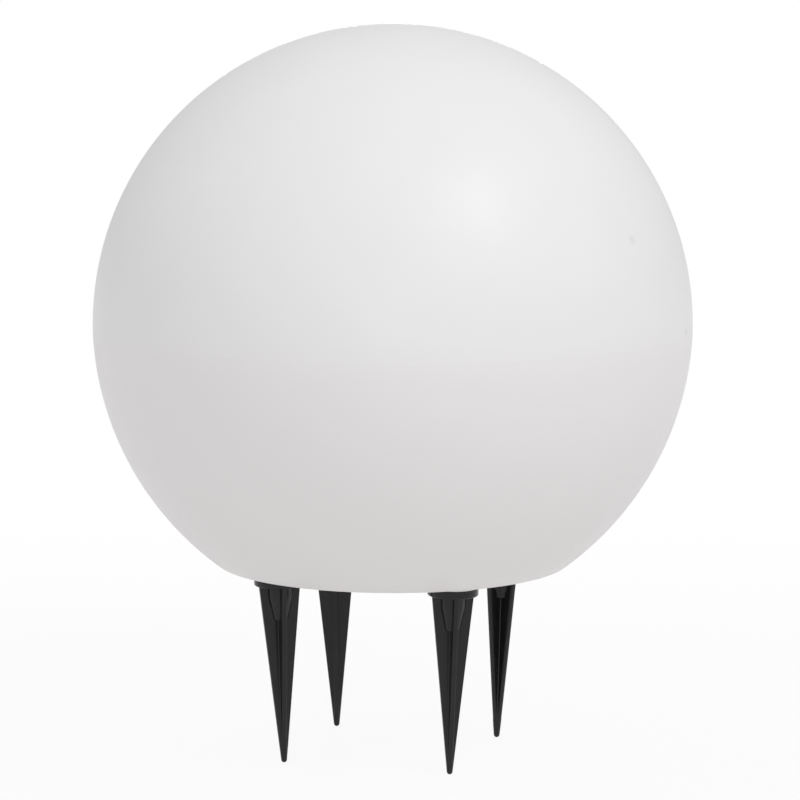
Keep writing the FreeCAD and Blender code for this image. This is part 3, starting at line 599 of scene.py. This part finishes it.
def spikeGrid(values):
    # Rows run from the plug's bore, over its rim, down the flange and the vanes, to the tip. Above the
    # vanes a row is a circle; below, each point is pushed out to the hub's radius where the hub is wider.
    under = -values["flangeThickness"]
    reference = fullCross(vaneSection(values, values["vaneReach"]))
    directions = reference / np.linalg.norm(reference, axis=1)[:, None]
    plug, length, bore = values["plugRadius"], values["plugLength"], values["plugBore"]
    flange, floor = values["flangeRadius"], -values["plugFloor"]
    floorRadius, floorRound = values["boreFloor"]
    shoulder, shoulderRound = values["boreShoulder"]
    inwards, downwards = values["plugBevel"]
    rounds = softOutline([
        (0, floor, 0), (floorRadius, floor, floorRound), (bore, -shoulder, shoulderRound),
        (bore, length, values["boreMouth"]), (plug - inwards, length, values["plugRound"]),
        (plug, length - downwards, values["plugRound"]), (plug, 0, values["plugFoot"]),
        (flange, 0, values["flangeRound"]), (flange, under, values["flangeEdge"]),
        (values["vaneReach"] - values["vaneInset"], under, 0),
    ], closed=False, steps=4)
    rings = [directions * r for r, _ in rounds]
    heights = [np.full(len(directions), z) for _, z in rounds]
    tipZ = -values["length"]
    ballZ = tipZ + values["tipRadius"]
    rise = under - ballZ
    flank = math.hypot(values["vaneReach"], rise)
    slope = math.atan2(rise, values["vaneReach"]) - math.acos(values["tipRadius"] / flank)
    touchR = values["tipRadius"] * math.cos(slope)
    touchZ = ballZ + values["tipRadius"] * math.sin(slope)
    hubLow = under - values["hubLength"]
    straightLow = under - values["hubStraight"]
    rows = [(under, values["hubRadius"])]
    rows += [(z, values["hubRadius"]) for z in np.linspace(under - values["hubTop"], straightLow, 4)]
    coneZ = np.linspace(straightLow, hubLow + values["hubFoot"], 6)[1:]
    share = (straightLow - coneZ) / (straightLow - hubLow)
    coneR = values["hubRadius"] + (values["hubEndRadius"] - values["hubRadius"]) * share
    rows += list(zip(coneZ, coneR))
    rows += [(hubLow, coneR[-1] - values["hubFoot"]), (hubLow, 0)]
    rows += [(z, 0) for z in np.linspace(hubLow, touchZ, 30)[1:]]
    for z, hub in rows:
        reach = touchR + (values["vaneReach"] - touchR) * (z - touchZ) / (under - touchZ)
        cross = fullCross(vaneSection(values, reach))
        size = np.linalg.norm(cross, axis=1)[:, None]
        rings.append(cross * np.maximum(size, hub) / size)
        heights.append(np.full(len(cross), z))
    tipCross = rings[-1] / np.linalg.norm(rings[-1], axis=1)[:, None]
    for angle in np.linspace(slope, -math.pi / 2, 7)[1:]:
        rings.append(tipCross * values["tipRadius"] * math.cos(angle))
        heights.append(np.full(len(tipCross), ballZ + values["tipRadius"] * math.sin(angle)))
    return np.concatenate([np.stack(rings, 1), np.stack(heights, 1)[..., None]], -1)


def makeSpikes(values):
    points = spikeGrid(values)
    for name, (place, azimuth, turn) in spikePlaces.items():
        thing = meshObject("groundSpike" + name, [(moved(points, spikeMatrix(azimuth, turn)), False)])
        dress(thing, finishes["spike"], "spike_" + place, "black_plastic", "ground_spike_" + place)


makeSpikes(spike)
print("spikes made")


def screwWave(angles, height, low, high, pitch):
    # 0 on the crest and 1 in the groove of a right-hand thread, fading out over half a pitch at its ends
    wave = 0.5 - 0.5 * np.cos(2 * np.pi * height / pitch - angles)
    fade = np.clip(np.minimum(height - low, high - height) / (pitch / 2), 0, 1)
    return wave * fade


def upright(radius, low, high, step):
    # evenly spaced points up a straight wall, or down it where low is above high
    count = max(2, round(abs(high - low) / step) + 1)
    return np.column_stack([np.full(count, radius), np.linspace(low, high, count)])


ring = {
    "width": 11.5 * mm,
    "edge": 1.0 * mm,
    "threadPitch": 4 * mm,
    "threadDepth": 0.8 * mm,
    "lugs": 6,
    "lugReach": 5.0 * mm,
    "lugThickness": 6.0 * mm,
    "lugHeight": 7.0 * mm,
    "lugSide": 0.8 * mm,        # slope of the lugs' sides
    "lugEnd": 0.7 * mm,         # and of their upper and lower ends
    "headRound": 0.3 * mm,
    "rowsPerPitch": 9,
    "boreStep": 0.35 * mm,
    "segments": 432,
}


def makeRing(values):
    # The bore moves in by the lugs' reach where both windows, round the axis and in height, are open.
    low, high, outer = ringLow.z, ringHigh.z, ringHigh.x
    inner = outer - values["width"]
    edge, reach = values["edge"], values["lugReach"]
    lugLow, lugHigh = low + edge, low + edge + values["lugHeight"]
    outside = upright(outer, high - edge, low + edge, values["threadPitch"] / values["rowsPerPitch"])
    inside = upright(inner, low + edge, high - edge, values["boreStep"])
    foot = softOutline([
        (outer, low + edge, 0), (outer, low, edge), (inner, low, edge), (inner, low + edge, 0),
    ], closed=False)
    top = values["headRound"]
    head = softOutline([(inner, high - edge, 0), (inner, high, top), (outer, high, top)], False)
    outline = np.concatenate([outside, foot[1:-1], inside, head[1:]])

    def change(angles, radius, height):
        onOuter = np.abs(radius - outer) < 1e-7
        groove = screwWave(angles, height, low + edge, high - edge, values["threadPitch"])
        groove = groove * values["threadDepth"]
        step = 2 * np.pi / values["lugs"]
        aside = np.abs((angles + step / 2) % step - step / 2) * (inner - reach / 2)
        across = np.clip((values["lugThickness"] / 2 - aside) / values["lugSide"] + 0.5, 0, 1)
        upwards = np.clip(np.minimum(height - lugLow, lugHigh - height) / values["lugEnd"] + 0.5, 0, 1)
        lug = np.where(np.abs(radius - inner) < 1e-7, across * upwards * reach, 0)
        return radius - np.where(onOuter, groove, 0) - lug, height
    thing = meshObject("retainingRing", [(turnedGrid(outline, values["segments"], change), True)])
    dress(thing, finishes["black"], "retaining_ring", "black_plastic", "retaining_ring")


holderShell = {
    "bore": 14.3 * mm,
    "sleeveBore": 19.8 * mm,
    "pressRadius": 17.2 * mm,
    "pressRise": 11 * mm,       # sleeve's lower edge to the face that clamps the contact base
    "overlap": 12 * mm,
    "wall": 2.4 * mm,
    "topRadius": 18.6 * mm,
    "flutes": 24,
    "fluteDepth": 0.7 * mm,
    "fluteFlat": 0.35,          # raises the cosine, so that the grooves grow wider
    "fluteStart": 1 * mm,
    "gripLow": 1.6 * mm,
    "gripHigh": 0.6 * mm,
    "boreRounds": (0.3 * mm, 0.6 * mm),     # lower and upper end of the bore
    "pressRound": 0.2 * mm,
    "sleeveRounds": (0.3 * mm, 0.4 * mm),   # inner and lower end of the sleeve's bore
    "rimRound": 0.8 * mm,
    "shoulderRound": 2.2 * mm,
    "topRound": 0.9 * mm,
    "segments": 288,
}


def makeHolderShell(values):
    # The sleeve's outside moves in by the flutes' depth times a raised cosine of the angle.
    low, high, outer = holderShellLow.z, holderShellHigh.z, holderShellHigh.x
    shoulder = low + values["overlap"]
    press = low + values["pressRise"]
    bore, sleeve, pressed = values["bore"], values["sleeveBore"], values["pressRadius"]
    boreLow, boreHigh = values["boreRounds"]
    sleeveHigh, sleeveLow = values["sleeveRounds"]
    outline = softOutline([
        (bore, press, boreLow), (pressed, press, values["pressRound"]), (pressed, shoulder, 0),
        (sleeve, shoulder, sleeveHigh), (sleeve, low, sleeveLow), (outer, low, values["rimRound"]),
        (outer, low + values["gripLow"], 0), (outer, shoulder - values["gripHigh"], 0),
        (outer, shoulder + values["wall"], values["shoulderRound"]),
        (values["topRadius"], high, values["topRound"]), (bore, high, boreHigh),
    ])

    def change(angles, radius, height):
        beside = (height > low + values["fluteStart"]) & (height < shoulder)
        sleeveSide = (radius > outer - 0.01 * mm) & beside
        wave = np.clip(values["fluteFlat"] + np.cos(values["flutes"] * angles), 0, 1)
        flute = values["fluteDepth"] * wave
        return radius - np.where(sleeveSide, flute, 0), height
    thing = meshObject("lampholderShell", [(turnedGrid(outline, values["segments"], change), True)])
    dress(thing, finishes["thermoset"], "lamp_unit", "holder_plastic", "lampholder_shell")


lampCap = {
    "mouth": 11.1 * mm,
    "wall": 0.5 * mm,
    "threadPitch": 3.63 * mm,
    "threadDepth": 0.45 * mm,
    "threadStart": 1.4 * mm,
    "threadEnd": 3.0 * mm,      # plain band left below the housing
    "footHeight": 1.2 * mm,
    "footRound": 0.9 * mm,
    "segments": 96,
}


def makeLampCap(values):
    # rolled round thread: the shell's outside follows a cosine of height and angle
    low, high, outer = bulbCapLow.z, bulbCapHigh.z, bulbCapHigh.x
    inner = outer - values["wall"]
    start, end = low + values["threadStart"], high - values["threadEnd"]
    rim = low + values["footHeight"]
    wall = upright(outer, rim, high, values["threadPitch"] / 10)
    mouth, rounding = values["mouth"], values["footRound"]
    foot = softOutline([(mouth, low, 0), (outer, low, rounding), (outer, rim, 0)], False)
    floor = low + values["wall"]
    outline = np.concatenate([foot[:-1], wall, [[inner, high], [inner, floor], [mouth, floor]]])

    def change(angles, radius, height):
        groove = screwWave(angles, height, start, end, values["threadPitch"]) * values["threadDepth"]
        return radius - np.where(np.abs(radius - outer) < 1e-7, groove, 0), height
    thing = meshObject("bulbCap", [(turnedGrid(outline, values["segments"], change), True)])
    dress(thing, finishes["nickel"], "bulb", "nickel", "bulb_cap")


nippleThread = {"bore": 3.6 * mm, "pitch": 1 * mm, "depth": 0.4 * mm, "chamfer": 0.4 * mm, "segments": 48}


def makeNipple(values):
    # fine thread all along the tube, with its ends chamfered
    low, high, outer = nippleLow.z, nippleHigh.z, nippleHigh.x
    bevel = values["chamfer"]
    wall = upright(outer, low + bevel, high - bevel, values["pitch"] / 8)
    ends = [[outer - bevel, high], [values["bore"], high], [values["bore"], low], [outer - bevel, low]]
    outline = np.concatenate([wall, ends])

    def change(angles, radius, height):
        groove = screwWave(angles, height, low, high, values["pitch"]) * values["depth"]
        return radius - np.where(np.abs(radius - outer) < 1e-7, groove, 0), height
    thing = meshObject("nipple", [(turnedGrid(outline, values["segments"], change), True)])
    dress(thing, finishes["steel"], "lamp_unit", "screw_steel", "nipple")


makeRing(ring)
makeHolderShell(holderShell)
makeLampCap(lampCap)
makeNipple(nippleThread)
print("threaded pieces made")


nodeFinish = {
    "neck_gasket": "rubber", "slip_ring": "grey", "lamp_carrier": "grey", "chamber_gasket": "rubber",
    "chamber_cover": "grey", "cover_screws": "steel", "gland_body": "black", "gland_washer": "rubber",
    "gland_locknut": "black", "gland_seal": "rubber", "gland_dome_nut": "black", "terminal_block": "nylon",
    "terminal_inserts": "brass", "terminal_screws": "steel", "fixing_screw": "steel",
    "live_lead": "brownLead", "neutral_lead": "blueLead", "nipple_nut": "steel",
    "lampholder_cap": "thermoset", "contact_base": "ceramic", "contact_screws": "brass",
    "screw_contact": "brass", "centre_contact": "brass", "bulb_pip": "brass", "bulb_insulator": "thermoset",
    "bulb_housing": "lampBody", "led_board": "board", "led_chips": "phosphor", "bulb_driver": "driver",
    "bulb_diffuser": "lampDome",
}


def finishNodes():
    for name, finish in nodeFinish.items():
        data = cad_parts[name].data
        data.materials.clear()
        data.materials.append(finishes[finish])


finishNodes()
print("frame pieces finished")


studio = {
    "world": 0.65,
    "lampDistance": 2.4,
    "floorTone": (0.84, 0.82, 0.815),
    "floorWhite": 0.90,
    "floorHalf": 6.0,
    "fadeStart": 0.5,
    "fadeEnd": 1.4,
}
lamps = {       # degrees to the camera's right and above its axis, width in metres, watts
    "keyLamp": (37, 40, 1.0, 12.6),
    "leftLamp": (-45, 40, 1.5, 2.2),
    "frontLamp": (0, 8, 0.7, 2.5),
    "backLamp": (180, 8, 0.7, 33.0),
}


def cameraWhite(nodes, links):
    # 1 for rays from the camera or off gloss and through glass
    path = nodes.new("ShaderNodeLightPath")
    first = nodes.new("ShaderNodeMath")
    first.operation = "MAXIMUM"
    links.new(path.outputs["Is Camera Ray"], first.inputs[0])
    links.new(path.outputs["Is Glossy Ray"], first.inputs[1])
    second = nodes.new("ShaderNodeMath")
    second.operation = "MAXIMUM"
    links.new(first.outputs[0], second.inputs[0])
    links.new(path.outputs["Is Transmission Ray"], second.inputs[1])
    return second.outputs[0]


def makeWorld(values):
    world = bpy.data.worlds.new("studioWorld")
    bpy.context.scene.world = world
    world.use_nodes = True
    nodes, links = world.node_tree.nodes, world.node_tree.links
    nodes.clear()
    output = nodes.new("ShaderNodeOutputWorld")
    lighting = nodes.new("ShaderNodeBackground")
    lighting.inputs["Strength"].default_value = values["world"]
    seen = nodes.new("ShaderNodeBackground")
    seen.inputs["Color"].default_value = (1, 1, 1, 1)
    lighting.inputs["Color"].default_value = (1, 1, 1, 1)
    mix = nodes.new("ShaderNodeMixShader")
    path = nodes.new("ShaderNodeLightPath")
    links.new(path.outputs["Is Camera Ray"], mix.inputs["Fac"])
    links.new(lighting.outputs[0], mix.inputs[1])
    links.new(seen.outputs[0], mix.inputs[2])
    links.new(mix.outputs[0], output.inputs["Surface"])


def makeFloor(values):
    mesh = bpy.data.meshes.new("studioFloor")
    half = values["floorHalf"]
    corners = [(-half, -half, 0), (half, -half, 0), (half, half, 0), (-half, half, 0)]
    mesh.from_pydata(corners, [], [(0, 1, 2, 3)])
    floor = bpy.data.objects.new("studioFloor", mesh)
    bpy.context.collection.objects.link(floor)
    material = bpy.data.materials.new("studioFloor")
    material.use_nodes = True
    nodes, links = material.node_tree.nodes, material.node_tree.links
    nodes.clear()
    output = nodes.new("ShaderNodeOutputMaterial")
    pale = nodes.new("ShaderNodeBsdfDiffuse")
    pale.inputs["Color"].default_value = (*values["floorTone"], 1)
    white = nodes.new("ShaderNodeEmission")
    white.inputs["Strength"].default_value = 1.0
    share = nodes.new("ShaderNodeMath")
    share.operation = "MULTIPLY"
    distance = nodes.new("ShaderNodeVectorMath")
    distance.operation = "LENGTH"
    links.new(nodes.new("ShaderNodeTexCoord").outputs["Object"], distance.inputs[0])
    start, end = values["fadeStart"], values["fadeEnd"]
    fade = spread(nodes, links, distance.outputs["Value"], values["floorWhite"], 1, start, end)
    links.new(fade, share.inputs[1])
    links.new(cameraWhite(nodes, links), share.inputs[0])
    mix = nodes.new("ShaderNodeMixShader")
    links.new(share.outputs[0], mix.inputs["Fac"])
    links.new(pale.outputs[0], mix.inputs[1])
    links.new(white.outputs[0], mix.inputs[2])
    oneSided = nodes.new("ShaderNodeMixShader")     # clear from below, so the underside can be looked at
    links.new(nodes.new("ShaderNodeNewGeometry").outputs["Backfacing"], oneSided.inputs["Fac"])
    links.new(mix.outputs[0], oneSided.inputs[1])
    links.new(nodes.new("ShaderNodeBsdfTransparent").outputs[0], oneSided.inputs[2])
    links.new(oneSided.outputs[0], output.inputs["Surface"])
    mesh.materials.append(material)


def addLamps(table, distance):
    cameraTurn = bpy.context.scene.camera.matrix_world.to_3x3()
    centre = Vector((0, 0, seamHeight))
    for name, (right, up, size, power) in table.items():
        right, up = math.radians(right), math.radians(up)
        towards = Vector((math.sin(right) * math.cos(up), math.sin(up), math.cos(right) * math.cos(up)))
        place = centre + cameraTurn @ towards * distance
        data = bpy.data.lights.new(name, "AREA")
        data.shape = "DISK"
        data.size = size
        data.energy = power
        lamp = bpy.data.objects.new(name, data)
        bpy.context.collection.objects.link(lamp)
        aim = (centre - place).to_track_quat("-Z", "Y").to_matrix().to_4x4()
        lamp.matrix_world = Matrix.Translation(place) @ aim


makeWorld(studio)
makeFloor(studio)
addLamps(lamps, studio["lampDistance"])
bpy.context.scene.view_settings.view_transform = "Standard"
print("studio lit")
